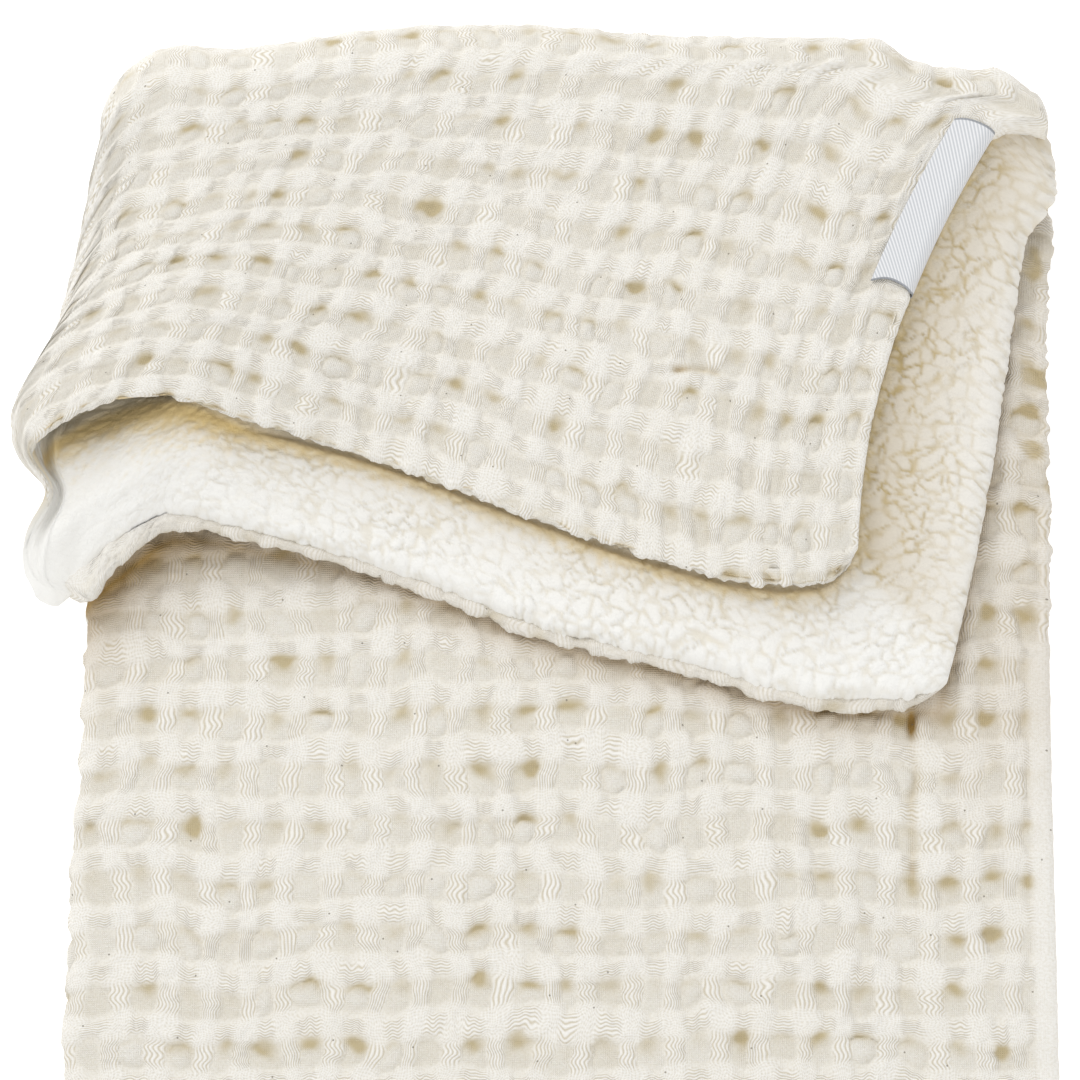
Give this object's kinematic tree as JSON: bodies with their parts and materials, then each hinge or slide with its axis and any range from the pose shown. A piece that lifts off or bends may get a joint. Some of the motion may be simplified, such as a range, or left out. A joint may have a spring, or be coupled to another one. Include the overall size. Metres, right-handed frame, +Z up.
{
  "type": "folded waffle weave blanket",
  "caption": "Off-white waffle weave cotton blanket with a curly pile lining, folded in half lengthwise, one end turned back over the stack, with a blank woven label at its edge",
  "frame": {"origin": "the middle of the bottom of the folded blanket's box, on the surface it lies on", "axes": "+X towards the free long edges, away from the lengthwise fold; +Y towards the turned-over end; +Z up"},
  "size_m": [0.3985, 0.7559, 0.0639],
  "materials": {
    "waffle_cotton": "matte undyed double-layer cotton in a coarse, irregular waffle weave with loose floats and sunken pits",
    "teddy_pile": "matte off-white cotton teddy, a short curly pile in small nubs",
    "label_tape": "pale blue-grey twill-woven tape, slightly smooth, blank"
  },
  "bodies": {
    "root": {"waffle_face": "waffle_cotton", "teddy_lining": "teddy_pile", "label": "label_tape"}
  },
  "joints": []
}
